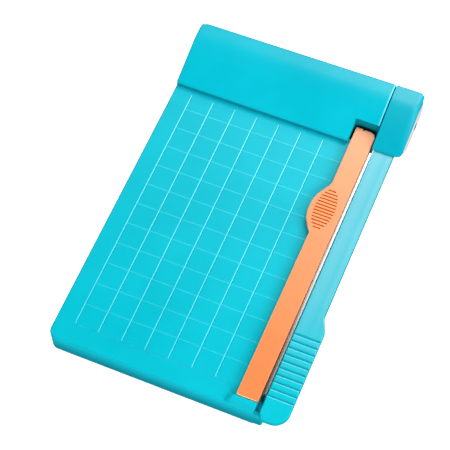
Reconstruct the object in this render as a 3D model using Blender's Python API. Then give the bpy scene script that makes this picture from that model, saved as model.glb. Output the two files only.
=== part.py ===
"""Small desktop paper trimmer with a hinged cutting arm: an assembly of separate pieces.

Every size and place below is in millimetres; objects are built in metres. +Z is up, +Y points to the
header at the back and +X to the cutting arm. The origin is the middle of the footprint, on the surface
that it stands on.
"""

import math

import bmesh
import bpy
from mathutils import Matrix, Vector

MM = 0.001

# Driving sizes
WIDTH = 129.2
LENGTH = 204.0
GRID = 12.7                       # table squares, half an inch
FOOT_DROP = 1.5                   # how far the feet hold the casing off the desk
TABLE_Z = 14.2                    # cutting surface
GAP = 0.3                         # clearance between neighbouring pieces
RUN = 0.08                        # clearance round a pin or bush
WALL = 2.2

# Base casing
LEFT = -WIDTH / 2
BACK = LENGTH / 2
FRONT = -99.9
SIDE_X = 47.0                     # outer face of the right wall, which carries the fixed blade
PLATE_Z = TABLE_Z - WALL          # underside of the table plate
HEADER_Y = 63.2                   # front of the header, twelve squares behind the front grid line
BLOCK_X, BLOCK_Y, BLOCK_Z = 34.8, -94.5, 16.8
POST_X, POST_Y, POST_Z = 51.0, -97.2, 12.6

# Header cover
HEADER_END_X = 48.0
CREST_Y, CREST_Z = 91.5, TABLE_Z + 12.0
BACK_EDGE_Z = TABLE_Z + 10.4
NOTCH_X, NOTCH_Y = 34.7, 75.5
COVER_WALL = 1.8

# Blades
FIXED_X = (SIDE_X + GAP, SIDE_X + GAP + 0.9)
MOVING_X = (FIXED_X[1] + GAP, FIXED_X[1] + GAP + 0.9)
BLADE_FRONT = -89.0
BLADE_SCREW_Z = 8.5
FIXED_SCREW_Y = (-82.0, -36.0, 13.0, 54.0)
MOVING_SCREW_Y = (-80.0, -20.0, 40.0)

# Cutting arm
ARM_X = MOVING_X[1] + GAP
ARM_RIGHT, HANDLE_RIGHT = 60.7, 64.0
ARM_TOP, ARM_BOTTOM = 17.0, 13.4
ARM_TIP = -LENGTH / 2
ARM_RAIL = 2.2                    # the wall that carries the moving blade
ARM_RAIL_Z = 5.5
HANDLE_GROOVES = 10
GROOVE_PITCH = 3.985
FIRST_GROOVE_Y = -53.2

# Pivot of the arm
PIVOT_Y, PIVOT_Z = 88.0, 12.0
BUSH_R = 4.0
FLANGE_R = 5.2
CORE_X = (48.9, 61.8)
HUB_X = (48.6, WIDTH / 2)
HUB_Y = 62.6
HUB_WALL = 1.6
CAP_X = (62.4, WIDTH / 2)
BOLT_R = 3.0
BOLT_HEAD_R = 3.9

# Press bar
BAR_X = (35.5, 47.0)              # at the front; at the back the bar lies BAR_SET further right
BAR_SET = 0.7
BAR_KNUCKLES = ((36.4, 37.9), (42.1, 44.2))
BAR_Y = (-94.2, 73.1)
BAR_Z = (14.6, 16.8)
BAR_PIN_Y, BAR_PIN_Z = 70.0, 11.6
BAR_PIN_R = 0.9
PAD_X, PAD_Y = 38.4, 19.2         # middle of the thumb pad

# Fasteners
SCREW_R = 1.2
SCREW_HOLE_R = SCREW_R + GAP
SCREW_HEAD_R = 2.6
BOTTOM_SCREWS = ((-56, -90), (38, -88), (-56, 5), (38, 5), (-56, 93), (18, 93))
HEADER_SCREWS = ((-50, 82), (-12, 82), (20, 82))
HUB_SCREWS = ((52.3, 76), (58.3, 76))
HUB_SCREW_HEAD_R = 2.1
FEET = ((-53, -76), (34, -76), (-53, 74), (26, 60))
FOOT_R = 6.0
BOTTOM_COVER_Z = (FOOT_DROP, FOOT_DROP + 1.8)

ROUND = 24                        # sides of a round piece


def clear_scene():
    for obj in list(bpy.data.objects):
        bpy.data.objects.remove(obj, do_unlink=True)


def material(name, colour, roughness, metallic=0.0):
    mat = bpy.data.materials.new(name)
    mat.use_nodes = True
    shader = mat.node_tree.nodes["Principled BSDF"]
    shader.inputs["Base Color"].default_value = (*colour, 1.0)
    shader.inputs["Roughness"].default_value = roughness
    shader.inputs["Metallic"].default_value = metallic
    return mat


# Outlines: lists of 2-D points in millimetres

def rounded(corners, step=15.0):
    """An outline from (a, b) or (a, b, radius) corners.

    Each radius is made into an arc whose chords turn by at most `step` degrees.
    """
    points = []
    count = len(corners)
    for i, corner in enumerate(corners):
        here = Vector(corner[:2])
        radius = corner[2] if len(corner) > 2 else 0.0
        if not radius:
            points.append(here)
            continue
        before = (Vector(corners[i - 1][:2]) - here).normalized()
        after = (Vector(corners[(i + 1) % count][:2]) - here).normalized()
        half = before.angle(after) / 2
        centre = here + (before + after).normalized() * (radius / math.sin(half))
        start = here + before * (radius / math.tan(half)) - centre
        turn = start.angle_signed(here + after * (radius / math.tan(half)) - centre)
        chords = max(1, round(abs(math.degrees(turn)) / step))
        for k in range(chords + 1):
            angle = -turn * k / chords
            spin = Matrix(((math.cos(angle), -math.sin(angle)), (math.sin(angle), math.cos(angle))))
            points.append(centre + spin @ start)
    return points


def arc(centre, radius, first, last, count):
    """Points on a circle from angle `first` to `last`, in degrees, both ends included."""
    angles = [math.radians(first + (last - first) * k / count) for k in range(count + 1)]
    return [Vector((centre[0] + radius * math.cos(a), centre[1] + radius * math.sin(a))) for a in angles]


def circle(centre, radius, sides=ROUND):
    return arc(centre, radius, 0, 360 - 360 / sides, sides - 1)


def offset(points, distance):
    """The outline moved outwards by `distance`, or inwards if it is negative."""
    area = sum(a.x * b.y - b.x * a.y for a, b in zip(points, points[1:] + points[:1]))
    side = 1 if area > 0 else -1
    moved = []
    for i, here in enumerate(points):
        one = (here - points[i - 1]).normalized()
        two = (points[(i + 1) % len(points)] - here).normalized()
        first, second = Vector((one.y, -one.x)) * side, Vector((two.y, -two.x)) * side
        between = (first + second).normalized()
        moved.append(here + between * (distance / max(0.3, between.dot(first))))
    return moved


# Meshes

def placed(axis, a, b, along):
    """A 2-D outline point and a place along the extrusion axis as a point in metres."""
    order = {"X": (along, a, b), "Y": (a, along, b), "Z": (a, b, along)}[axis]
    return Vector(order) * MM


def add_prism(bm, outline, low, high, axis="Z", bevel=0.0, bevelled=None):
    """Extrudes an outline, given in the other two axes' order, and bevels the edges of its `high` end."""
    bottom = [bm.verts.new(placed(axis, *point, low)) for point in outline]
    top = [bm.verts.new(placed(axis, *point, high)) for point in outline]
    faces = [bm.faces.new(bottom), bm.faces.new(top)]
    for i in range(len(outline)):
        faces.append(bm.faces.new((bottom[i - 1], bottom[i], top[i], top[i - 1])))
    bmesh.ops.recalc_face_normals(bm, faces=faces)
    if bevel:
        edges = []
        for edge in faces[1].edges:
            middle = (edge.verts[0].co + edge.verts[1].co) / 2
            if bevelled is None or bevelled(middle):
                edges.append(edge)
        bmesh.ops.bevel(bm, geom=edges, offset=bevel * MM, segments=2, profile=0.5,
                        affect="EDGES", clamp_overlap=True)


def add_box(bm, x, y, z):
    add_prism(bm, [(x[0], y[0]), (x[1], y[0]), (x[1], y[1]), (x[0], y[1])], z[0], z[1])


def add_cylinder(bm, centre, radius, low, high, axis="Z", sides=ROUND):
    add_prism(bm, circle(centre, radius, sides), low, high, axis)


def mesh_object(name, bm, mat=None, at=(0, 0, 0)):
    mesh = bpy.data.meshes.new(name)
    bm.to_mesh(mesh)
    bm.free()
    mesh.shade_smooth()
    mesh.set_sharp_from_angle(angle=math.radians(35))
    return linked(name, mesh, mat, at)


def linked(name, mesh, mat=None, at=(0, 0, 0)):
    obj = bpy.data.objects.new(name, mesh)
    obj.location = Vector(at) * MM
    bpy.context.scene.collection.objects.link(obj)
    if mat and not mesh.materials:
        mesh.materials.append(mat)
    return obj


def boolean(obj, tool_bm, operation="DIFFERENCE"):
    """Cuts a helper mesh from the object, or joins it on, as a Boolean modifier."""
    tool = mesh_object(f"{obj.name}_tool_{len(obj.modifiers)}", tool_bm)
    tool.hide_render = True
    tool.display_type = "WIRE"
    modifier = obj.modifiers.new(operation.title(), "BOOLEAN")
    modifier.operation = operation
    modifier.object = tool
    modifier.solver = "EXACT"


def helper(*shapes):
    """A mesh of several shapes, each a function and its arguments."""
    bm = bmesh.new()
    for make, *arguments in shapes:
        make(bm, *arguments)
    return bm


# Base

def base_shell(teal):
    corners = [
        (LEFT, FRONT, 5.0), (POST_X - 1.4, FRONT), (POST_X, FRONT + 1.5), (POST_X, POST_Y),
        (SIDE_X, POST_Y), (SIDE_X, BACK), (LEFT, BACK, 3.5),
    ]
    bm = bmesh.new()
    rounded_edges = lambda at: at.x < (LEFT + 6) * MM or (at.y < (FRONT + 1) * MM and at.x < POST_X * MM)
    add_prism(bm, rounded(corners), FOOT_DROP, TABLE_Z, bevel=1.2, bevelled=rounded_edges)
    shell = mesh_object("base_shell", bm, teal)

    inner = ((LEFT + WALL, SIDE_X - WALL), (FRONT + WALL, BACK - WALL))
    boolean(shell, helper((add_box, *inner, (-1, PLATE_Z))))

    bosses = [
        (add_cylinder, at, 3.4, BOTTOM_COVER_Z[1] + GAP, PLATE_Z + 0.5, "Z", 16) for at in BOTTOM_SCREWS
    ]
    tower = (add_box, (41.0, SIDE_X - 1.1), (80.5, 96.5), (4.0, 18.0))
    lug = (add_box, (38.2, 41.8), (65.5, 72.6), (8.5, TABLE_Z - 1.0))
    block = [
        (BLOCK_Y, PLATE_Z + 1), (BLOCK_Y, BLOCK_Z, 0.6),
        (FRONT + 0.1, BLOCK_Z, 3.0), (FRONT + 0.1, PLATE_Z + 1),
    ]
    shelf = (add_box, (SIDE_X - 1.0, POST_X), (POST_Y - 0.5, -82.0), (FOOT_DROP, 4.5))
    slot = (add_box, (NOTCH_X, SIDE_X + 1), (66.5, 76.0), (PLATE_Z - 0.2, TABLE_Z + 1))
    spring_bay = (add_box, (30.5, 41.6), (80.0, 97.0), (PLATE_Z - 1, TABLE_Z + 1))
    boolean(shell, helper(slot, spring_bay))
    boolean(shell, helper(*bosses, tower, lug, shelf), "UNION")
    boolean(shell, helper((add_prism, rounded(block, 22.5), BLOCK_X, SIDE_X - 0.05, "X")), "UNION")

    boolean(shell, helper(
        (add_cylinder, (PIVOT_Y, PIVOT_Z), BUSH_R + RUN, 40.0, SIDE_X + 1, "X"),
        (add_cylinder, (BAR_PIN_Y, BAR_PIN_Z), BAR_PIN_R + RUN, 37.0, 43.0, "X", 12),
        (add_box, (SIDE_X + 0.02, POST_X + 1), (FRONT - 1, POST_Y + 1), (POST_Z, TABLE_Z + 1)),
        *[(add_cylinder, at, SCREW_HOLE_R, 2.0, PLATE_Z - 1.5, "Z", 12) for at in BOTTOM_SCREWS],
        *[(add_cylinder, at, SCREW_HOLE_R, PLATE_Z - 1, TABLE_Z + 1, "Z", 12) for at in HEADER_SCREWS],
        *[(add_cylinder, (y, BLADE_SCREW_Z), SCREW_HOLE_R, 44.0, SIDE_X + 1, "X", 12)
          for y in FIXED_SCREW_Y],
    ))
    return shell


def header_profile(step=10.0):
    """The header's section in (Y, Z): a low front face, a long slope up to the crest and a rounded back."""
    return rounded([
        (HEADER_Y, TABLE_Z + GAP), (HEADER_Y + 0.2, TABLE_Z + 3.1, 1.2), (CREST_Y, CREST_Z, 20.0),
        (BACK, BACK_EDGE_Z, 3.6), (BACK, TABLE_Z + GAP),
    ], step)


def header_cover(teal):
    profile = header_profile()
    bm = bmesh.new()
    add_prism(bm, profile, LEFT - 1, HEADER_END_X, "X")
    cover = mesh_object("header_cover", bm, teal)
    plan = rounded([
        (LEFT, HEADER_Y - 2), (HEADER_END_X + 1, HEADER_Y - 2),
        (HEADER_END_X + 1, BACK + 0.01), (LEFT, BACK + 0.01, 3.5),
    ])
    boolean(cover, helper((add_prism, plan, TABLE_Z - 1, TABLE_Z + 14)), "INTERSECT")
    notch = (add_box, (NOTCH_X, HEADER_END_X + 2), (HEADER_Y - 3, NOTCH_Y), (TABLE_Z - 2, TABLE_Z + 14))
    boolean(cover, helper(notch))

    inner = offset(profile, -COVER_WALL)
    inner = [Vector((p.x, p.y if p.y > TABLE_Z + 2.1 else TABLE_Z - 2)) for p in inner]
    # The hollow has two parts, beside the notch and behind it.
    # A wall of the cover stands between them and the notch.
    rear_top = TABLE_Z + 6.0
    wall = NOTCH_Y + COVER_WALL
    behind = [Vector((wall, TABLE_Z - 2)), Vector((wall, rear_top - 0.2))]
    behind += [p for p in inner if p.x > wall + 1]
    boolean(cover, helper((add_prism, inner, LEFT + COVER_WALL, NOTCH_X - COVER_WALL, "X")))
    boolean(cover, helper((add_prism, behind, NOTCH_X - COVER_WALL - 1, HEADER_END_X - COVER_WALL, "X")))
    posts = [(add_cylinder, at, 3.0, TABLE_Z + GAP, 21.2, "Z", 16) for at in HEADER_SCREWS]
    boolean(cover, helper(*posts), "UNION")
    flange_room = FLANGE_R + GAP
    boolean(cover, helper(
        *[(add_cylinder, at, SCREW_HOLE_R, TABLE_Z - 1, 19.8, "Z", 12) for at in HEADER_SCREWS],
        (add_box, (HEADER_END_X - COVER_WALL - 1, HEADER_END_X + 1),
         (PIVOT_Y - flange_room, PIVOT_Y + flange_room),
         (TABLE_Z - 1, PIVOT_Z + flange_room)),
    ))
    return cover


def bottom_cover(grey):
    bm = bmesh.new()
    edge = WALL + GAP
    add_box(bm, (LEFT + edge, SIDE_X - edge), (FRONT + edge, BACK - edge), BOTTOM_COVER_Z)
    cover = mesh_object("bottom_cover", bm, grey)
    low, high = BOTTOM_COVER_Z
    boolean(cover, helper(
        *[(add_cylinder, at, SCREW_HEAD_R + GAP, low - 1, low + 1.0, "Z", 16) for at in BOTTOM_SCREWS],
        *[(add_cylinder, at, FOOT_R + GAP, low - 1, low + 0.8) for at in FEET],
    ))
    holes = [(add_cylinder, at, SCREW_HOLE_R, low, high + 1, "Z", 12) for at in BOTTOM_SCREWS]
    boolean(cover, helper(*holes))
    return cover


def rubber_feet(rubber):
    bm = bmesh.new()
    add_prism(bm, circle((0, 0), FOOT_R), BOTTOM_COVER_Z[0] + 0.5, 0.0)
    bmesh.ops.recalc_face_normals(bm, faces=bm.faces)
    mesh = bpy.data.meshes.new("rubber_foot")
    bm.to_mesh(mesh)
    bm.free()
    return [linked(f"rubber_foot_{i + 1}", mesh, rubber, (*at, 0)) for i, at in enumerate(FEET)]


# Fasteners

def screw_mesh(name, length, head_height=1.7, head_r=SCREW_HEAD_R, shank_r=SCREW_R):
    """A screw along +Z: its head, with a cross recess, ends at 0 and its shank goes up from there."""
    bm = bmesh.new()
    head = circle((0, 0), head_r, 16)
    shank = circle((0, 0), shank_r, 16)
    rings = [
        [Vector((*p * 0.72, -head_height)) for p in head],
        [Vector((*p, -head_height * 0.55)) for p in head],
        [Vector((*p, 0)) for p in head],
        [Vector((*p, 0)) for p in shank],
        [Vector((*p, length - shank_r)) for p in shank],
        [Vector((*p * 0.35, length)) for p in shank],
    ]
    loops = [[bm.verts.new(v * MM) for v in ring] for ring in rings]
    for one, two in zip(loops, loops[1:]):
        for i in range(16):
            bm.faces.new((one[i - 1], one[i], two[i], two[i - 1]))
    bm.faces.new(loops[-1])
    inner = [bm.verts.new(v.co * 0.5 + Vector((0, 0, v.co.z * 0.5))) for v in loops[0]]
    for i in range(16):
        bm.faces.new((loops[0][i], loops[0][i - 1], inner[i - 1], inner[i]))
    floor = [bm.verts.new(v.co + Vector((0, 0, head_height * 0.5 * MM))) for v in inner]
    for i in range(16):
        bm.faces.new((inner[i], inner[i - 1], floor[i - 1], floor[i]))
    bm.faces.new(floor)
    bmesh.ops.recalc_face_normals(bm, faces=bm.faces)
    mesh = bpy.data.meshes.new(name)
    bm.to_mesh(mesh)
    bm.free()
    mesh.shade_smooth()
    mesh.set_sharp_from_angle(angle=math.radians(35))
    return mesh


def screws(name, mesh, mat, places, rotation=(0, 0, 0)):
    made = []
    for i, at in enumerate(places):
        obj = linked(f"{name}_{i + 1}", mesh, mat, at)
        obj.rotation_euler = rotation
        made.append(obj)
    return made


# Blades and pivot

def fixed_blade(steel):
    bm = bmesh.new()
    add_box(bm, FIXED_X, (BLADE_FRONT, 62.0), (5.0, TABLE_Z + 0.1))
    blade = mesh_object("fixed_blade", bm, steel)
    ends = (FIXED_X[0] - 1, FIXED_X[1] + 1)
    holes = [(add_cylinder, (y, BLADE_SCREW_Z), SCREW_HOLE_R, *ends, "X", 12) for y in FIXED_SCREW_Y]
    boolean(blade, helper(*holes))
    return blade


def moving_blade(steel):
    """The arm's blade: a straight back and a slightly bowed cutting edge that drops towards the handle."""
    back_end, steps, bow = 60.0, 16, 1.2
    edge = []
    for k in range(steps + 1):
        share = k / steps
        y = BLADE_FRONT + (back_end - BLADE_FRONT) * share
        edge.append(Vector((y, 6.0 + 2.2 * share - bow * math.sin(math.pi * share))))
    outline = edge + [Vector((back_end, 17.0)), Vector((BLADE_FRONT, 17.0))]
    bm = bmesh.new()
    add_prism(bm, outline, *MOVING_X, "X")
    blade = mesh_object("moving_blade", bm, steel)
    ends = (MOVING_X[0] - 1, MOVING_X[1] + 1)
    holes = [(add_cylinder, (y, BLADE_SCREW_Z + 1), SCREW_HOLE_R, *ends, "X", 12) for y in MOVING_SCREW_Y]
    boolean(blade, helper(*holes))
    return blade


def pivot_pieces(steel, brass, dark):
    centre = (PIVOT_Y, PIVOT_Z)
    bm = bmesh.new()
    head_x = CORE_X[1] - 2.2
    add_cylinder(bm, centre, BOLT_R, 31.0, head_x + 0.5, "X")
    bolt = mesh_object("pivot_bolt", bm, dark)
    boolean(bolt, helper((add_cylinder, centre, BOLT_HEAD_R, head_x, CORE_X[1], "X")), "UNION")
    boolean(bolt, helper((add_cylinder, centre, 1.7, head_x + 0.8, CORE_X[1] + 1, "X", 6)))

    bm = bmesh.new()
    add_cylinder(bm, centre, BUSH_R, 40.7, SIDE_X + 0.6, "X")
    bush = mesh_object("pivot_bush", bm, brass)
    boolean(bush, helper((add_cylinder, centre, FLANGE_R, SIDE_X + GAP, CORE_X[0] - GAP, "X")), "UNION")
    boolean(bush, helper((add_cylinder, centre, BOLT_R + RUN, 40.0, CORE_X[0], "X")))

    bm = bmesh.new()
    add_cylinder(bm, centre, 6.0, 36.0, 37.0, "X")
    washer = mesh_object("pivot_washer", bm, steel)
    boolean(washer, helper((add_cylinder, centre, BOLT_R + RUN, 35.0, 38.0, "X")))

    bm = bmesh.new()
    add_cylinder(bm, centre, 6.0, 31.6, 35.7, "X", 6)
    nut = mesh_object("pivot_nut", bm, steel)
    boolean(nut, helper((add_cylinder, centre, BOLT_R + RUN, 31.0, 36.0, "X")))
    return [bolt, bush, washer, nut, pivot_spring(steel)]


def pivot_spring(steel):
    """Two turns of wire round the bolt, which pull the two blades together."""
    radius, wire, first_x, last_x, turns, steps = 4.75, 0.5, 37.9, 40.1, 2, 40
    curve = bpy.data.curves.new("pivot_spring", "CURVE")
    curve.dimensions = "3D"
    curve.bevel_depth = wire * MM
    curve.bevel_resolution = 1
    curve.use_fill_caps = True
    spline = curve.splines.new("POLY")
    spline.points.add(steps)
    for k, point in enumerate(spline.points):
        angle = 2 * math.pi * turns * k / steps
        along = first_x + (last_x - first_x) * k / steps
        at = Vector((along, PIVOT_Y + radius * math.cos(angle), PIVOT_Z + radius * math.sin(angle)))
        point.co = (*(at * MM), 1)
    curve.materials.append(steel)
    spring = bpy.data.objects.new("pivot_spring", curve)
    bpy.context.scene.collection.objects.link(spring)
    return spring


# Cutting arm

def cap_outline():
    """The pivot's side cap in (Y, Z): under the hub's edge, with a flat foot clear of the desk."""
    return rounded([
        (68.8, 12.4, 4.0), (67.0, 17.3), (90.0, 21.0), (101.6, 18.6),
        (101.6, 9.8, 3.4), (97.0, 6.8, 3.0), (75.5, 6.8, 5.0),
    ], 22.5)


def arm_lever(teal):
    plan = rounded([
        (ARM_X, -98.8, 1.5), (51.4, ARM_TIP, 2.0), (HANDLE_RIGHT, ARM_TIP, 8.0), (HANDLE_RIGHT, -46.6, 4.0),
        (ARM_RIGHT, -39.0, 5.0), (ARM_RIGHT, 69.5), (ARM_X, 69.5),
    ])
    bm = bmesh.new()
    add_prism(bm, plan, ARM_BOTTOM, ARM_TOP, bevel=0.9, bevelled=lambda at: at.y < 69 * MM)
    arm = mesh_object("arm_lever", bm, teal)
    roof = ARM_TOP - 2.0
    rail_inner = ARM_X + ARM_RAIL
    boolean(arm, helper(
        (add_box, (rail_inner, ARM_RIGHT - 2.0), (-34.0, 56.0), (ARM_BOTTOM - 1, roof)),
        (add_box, (rail_inner, HANDLE_RIGHT - 2.0), (-95.0, -50.0), (ARM_BOTTOM - 1, roof - 0.6)),
        *[(add_prism, groove_section(FIRST_GROOVE_Y - GROOVE_PITCH * k), ARM_X - 1, HANDLE_RIGHT + 1, "X")
          for k in range(HANDLE_GROOVES)],
    ))
    core = rounded([
        (66.5, ARM_TOP - 0.3), (66.5, 12.5), (73.0, 7.2, 3.0),
        (95.5, 7.2, 4.0), (97.6, 12.0, 2.0), (97.6, ARM_TOP - 0.3),
    ])
    rail = (add_box, (ARM_X, rail_inner), (BLADE_FRONT, 75.0), (ARM_RAIL_Z, ARM_BOTTOM + 0.5))
    boolean(arm, helper(rail), "UNION")
    boolean(arm, helper((add_prism, core, *CORE_X, "X")), "UNION")
    boolean(arm, helper(
        (add_cylinder, (PIVOT_Y, PIVOT_Z), BOLT_R + RUN, CORE_X[0] - 1, CORE_X[1] + 1, "X"),
        *[(add_cylinder, (y, BLADE_SCREW_Z + 1), SCREW_HOLE_R, ARM_X - 1, rail_inner + 1, "X", 12)
          for y in MOVING_SCREW_Y],
    ))
    boolean(arm, helper(
        (add_cylinder, (PIVOT_Y, PIVOT_Z), BOLT_HEAD_R + GAP, CORE_X[1] - 2.5, CORE_X[1] + 1, "X"),
        *[(add_cylinder, at, HUB_SCREW_HEAD_R + GAP, ARM_RAIL_Z - 1, 9.5, "Z", 16) for at in HUB_SCREWS],
    ))
    holes = [(add_cylinder, at, SCREW_HOLE_R, 9.0, ARM_TOP + 1, "Z", 12) for at in HUB_SCREWS]
    boolean(arm, helper(*holes))
    return arm


def groove_section(y):
    """A shallow V across the handle, in (Y, Z)."""
    return [Vector((y - 0.7, ARM_TOP + 0.3)), Vector((y + 0.7, ARM_TOP + 0.3)), Vector((y, ARM_TOP - 0.6))]


def hub_cover(teal):
    """The dome over the pivot, which carries on the line of the header's cover and moves with the arm."""
    low = ARM_TOP + GAP
    wall_y, lip_y = BACK - HUB_WALL, BACK - HUB_WALL - GAP
    profile = rounded([
        (HUB_Y, low), (HUB_Y, TABLE_Z + 4.1, 1.0), (CREST_Y, CREST_Z, 20.0), (BACK, BACK_EDGE_Z, 3.6),
        (BACK, 15.0), (lip_y, 15.0), (lip_y, low),
    ], 10)
    end = HUB_X[1]
    sections = [(HUB_X[0], 1.0), (end - 3.4, 1.0), (end - 1.8, 0.96), (end - 0.5, 0.84), (end, 0.66)]
    bm = bmesh.new()
    rings = [
        [bm.verts.new(placed("X", p.x, low + (p.y - low) * (share if p.y > low else 1), x)) for p in profile]
        for x, share in sections
    ]
    for one, two in zip(rings, rings[1:]):
        for i in range(len(profile)):
            bm.faces.new((one[i - 1], one[i], two[i], two[i - 1]))
    bm.faces.new(rings[0])
    bm.faces.new(rings[-1])
    bmesh.ops.recalc_face_normals(bm, faces=bm.faces)
    cover = mesh_object("hub_cover", bm, teal)
    plan = rounded([
        (40, HUB_Y - 1), (HUB_X[1] + 0.01, HUB_Y - 0.01, 4.0),
        (HUB_X[1] + 0.01, BACK + 0.01, 2.5), (40, BACK + 0.01),
    ])
    plan[0].y = HUB_Y - 0.01
    boolean(cover, helper((add_prism, plan, 10, TABLE_Z + 14)), "INTERSECT")
    inner = rounded([
        (HUB_Y + HUB_WALL, 13.0), (HUB_Y + HUB_WALL, 17.1), (91.2, CREST_Z - 1.7, 20.0),
        (wall_y, BACK_EDGE_Z - 2.0, 2.2), (wall_y, 13.0),
    ], 10)
    boolean(cover, helper((add_prism, inner, HUB_X[0] + HUB_WALL, CAP_X[0] - GAP, "X")))
    boolean(cover, helper((add_prism, offset(cap_outline(), GAP), CAP_X[0] - GAP, HUB_X[1] + 1, "X")))
    posts = [(add_cylinder, at, 2.2, low, 20.6, "Z", 16) for at in HUB_SCREWS]
    boolean(cover, helper(*posts), "UNION")
    boolean(cover, helper(*[(add_cylinder, at, SCREW_HOLE_R, low - 1, 19.6, "Z", 12) for at in HUB_SCREWS]))
    return cover


def side_cap(white):
    bm = bmesh.new()
    add_prism(bm, cap_outline(), *CAP_X, "X", bevel=0.5)
    cap = mesh_object("side_cap", bm, white)
    boolean(cap, helper((add_cylinder, (PIVOT_Y, PIVOT_Z), 2.1, CAP_X[0] - 1, CAP_X[1] + 1, "X")))
    return cap


# Press bar

def press_bar(orange):
    """The bar that holds the paper: a flat strip with a thumb pad, and two knuckles on its pin."""
    left, right = BAR_X
    front, back = BAR_Y
    left_back, right_back = left + BAR_SET, right + BAR_SET
    bulge = [(36.3, 35.2, 6.0), (30.2, 24.2, 20.0), (30.2, 12.2, 18.0), (35.8, 3.8, 2.0)]
    rear = [
        (right_back, 73.0, 4.0), (41.1, 73.0), (40.9, 72.3),
        (40.3, 72.3), (40.1, back), (left_back, back),
    ]
    plan = rounded([(left, front), (right, front), *rear, *bulge])
    bm = bmesh.new()
    add_prism(bm, plan, *BAR_Z, bevel=0.35)
    bar = mesh_object("press_bar", bm, orange)
    knuckle = [Vector((BAR_PIN_Y - 2.2, BAR_Z[0] + 0.8)), *arc((BAR_PIN_Y, BAR_PIN_Z), 2.2, 180, 360, 8),
               Vector((BAR_PIN_Y + 2.2, BAR_Z[0] + 0.8))]
    knuckles = [(add_prism, knuckle, *ends, "X") for ends in BAR_KNUCKLES]
    boolean(bar, helper(*knuckles), "UNION")
    boolean(bar, helper((add_cylinder, (BAR_PIN_Y, BAR_PIN_Z), BAR_PIN_R + RUN, 34.0, 46.0, "X", 12)))
    boolean(bar, helper(*pad_grooves()))
    return bar


def pad_grooves(count=13, pitch=1.945, half_width=5.5, half_length=12.6):
    """Shallow grooves across the thumb pad, each as long as an oval is wide there."""
    made = []
    for k in range(count):
        along = (k - (count - 1) / 2) * pitch
        reach = half_width * math.sqrt(1 - (along / half_length) ** 2)
        y = PAD_Y + along
        lip = BAR_Z[1] + 0.2
        section = [Vector((y - 0.45, lip)), Vector((y + 0.45, lip)), Vector((y, BAR_Z[1] - 0.4))]
        made.append((add_prism, section, PAD_X - reach, PAD_X + reach, "X"))
    return made


def press_bar_pin(steel):
    bm = bmesh.new()
    add_cylinder(bm, (BAR_PIN_Y, BAR_PIN_Z), BAR_PIN_R, 36.5, 44.5, "X", 12)
    return mesh_object("press_bar_pin", bm, steel)


def hold(name, y, z, pieces):
    """An empty on a joint's axis that carries the pieces which move with it."""
    pivot = bpy.data.objects.new(name, None)
    pivot.location = Vector((0, y, z)) * MM
    bpy.context.scene.collection.objects.link(pivot)
    for piece in pieces:
        piece.parent = pivot
        piece.matrix_parent_inverse = Matrix.Translation(-pivot.location)


def build():
    clear_scene()
    teal = material("teal_plastic", (0.0, 0.53, 0.68), 0.35)
    orange = material("orange_plastic", (0.96, 0.28, 0.10), 0.4)
    steel = material("steel", (0.72, 0.74, 0.76), 0.25, 1.0)
    dark = material("black_steel", (0.05, 0.05, 0.06), 0.35, 1.0)
    brass = material("brass", (0.75, 0.55, 0.2), 0.3, 1.0)
    white = material("white_plastic", (0.86, 0.89, 0.9), 0.4)
    rubber = material("rubber", (0.04, 0.04, 0.045), 0.8)

    base_shell(teal)
    header_cover(teal)
    bottom_cover(teal)
    rubber_feet(rubber)
    fixed_blade(steel)
    press_bar_pin(steel)
    pivot_pieces(steel, brass, dark)
    quarter = math.pi / 2
    screws("bottom_screw", screw_mesh("bottom_screw", 7.0, 0.55), dark,
           [(*at, 2.25) for at in BOTTOM_SCREWS])
    screws("header_screw", screw_mesh("header_screw", 7.6), dark,
           [(*at, PLATE_Z - GAP) for at in HEADER_SCREWS])
    screws("fixed_blade_screw", screw_mesh("fixed_blade_screw", 3.3), dark,
           [(SIDE_X - WALL - GAP, y, BLADE_SCREW_Z) for y in FIXED_SCREW_Y], (0, quarter, 0))

    arm = [arm_lever(teal), hub_cover(teal), side_cap(white), moving_blade(steel)]
    arm += screws("moving_blade_screw", screw_mesh("moving_blade_screw", 3.1), dark,
                  [(ARM_X + ARM_RAIL + GAP, y, BLADE_SCREW_Z + 1) for y in MOVING_SCREW_Y],
                  (0, -quarter, 0))
    hub_screw = screw_mesh("hub_cover_screw", 9.9, head_r=HUB_SCREW_HEAD_R)
    arm += screws("hub_cover_screw", hub_screw, dark, [(*at, 9.2) for at in HUB_SCREWS])
    hold("arm_hinge", PIVOT_Y, PIVOT_Z, arm)
    hold("press_bar_hinge", BAR_PIN_Y, BAR_PIN_Z, [press_bar(orange)])


build()
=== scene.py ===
"""The look of a small desktop paper trimmer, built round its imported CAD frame.

Sizes and places are in millimetres, in the frame's own axes: +Z up, +Y to the header, +X to the cutting arm.
"""

import math

import bmesh
import bpy
from mathutils import Matrix, Vector


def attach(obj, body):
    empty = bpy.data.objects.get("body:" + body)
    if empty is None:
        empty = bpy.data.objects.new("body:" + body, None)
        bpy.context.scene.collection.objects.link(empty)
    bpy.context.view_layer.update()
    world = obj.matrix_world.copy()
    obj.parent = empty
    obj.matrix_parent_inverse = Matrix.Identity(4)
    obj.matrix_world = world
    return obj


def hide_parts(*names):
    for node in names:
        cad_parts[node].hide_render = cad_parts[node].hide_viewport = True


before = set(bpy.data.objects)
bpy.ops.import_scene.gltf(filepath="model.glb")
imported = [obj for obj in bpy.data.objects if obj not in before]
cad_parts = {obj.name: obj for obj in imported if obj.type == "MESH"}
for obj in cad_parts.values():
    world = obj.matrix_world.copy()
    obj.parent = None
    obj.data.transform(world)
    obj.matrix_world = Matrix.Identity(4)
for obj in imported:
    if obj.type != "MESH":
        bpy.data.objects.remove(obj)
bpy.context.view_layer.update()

MM = 0.001
GAP, RUN = 0.3, 0.08                        # room round a fixed or passing piece, and round a turning pin
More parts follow.
